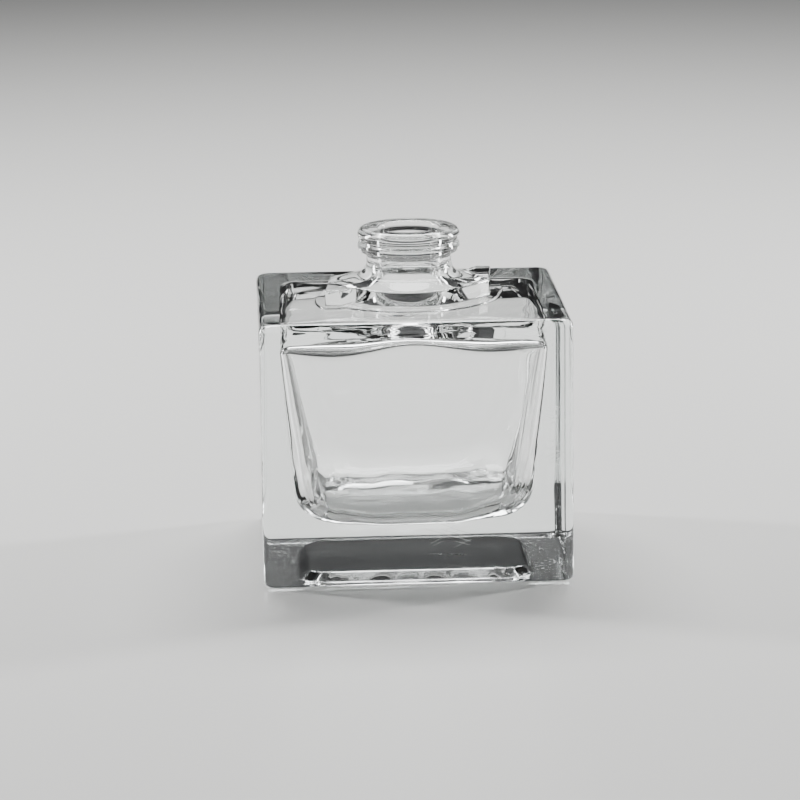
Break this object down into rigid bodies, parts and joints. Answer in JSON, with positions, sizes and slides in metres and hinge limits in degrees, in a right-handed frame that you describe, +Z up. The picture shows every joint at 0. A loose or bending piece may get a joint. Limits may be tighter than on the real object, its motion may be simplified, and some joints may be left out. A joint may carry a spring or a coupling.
{
  "type": "aftershave bottle",
  "caption": "Low square clear-glass aftershave bottle with a thick base, a tapered inner chamber, a lugged collar and an open crimp neck.",
  "frame": {"origin": "middle of the base, on the surface the bottle stands on", "axes": "+Z up through the neck, -Y out of the front face, +X to the right seen from the front"},
  "size_m": [0.045, 0.04, 0.0491],
  "materials": {
    "clear_glass": "fire-polished colourless flint glass, slightly wavy inside, with light handling scratches"
  },
  "bodies": {
    "root": {"glass_bottle": "clear_glass"}
  },
  "joints": []
}
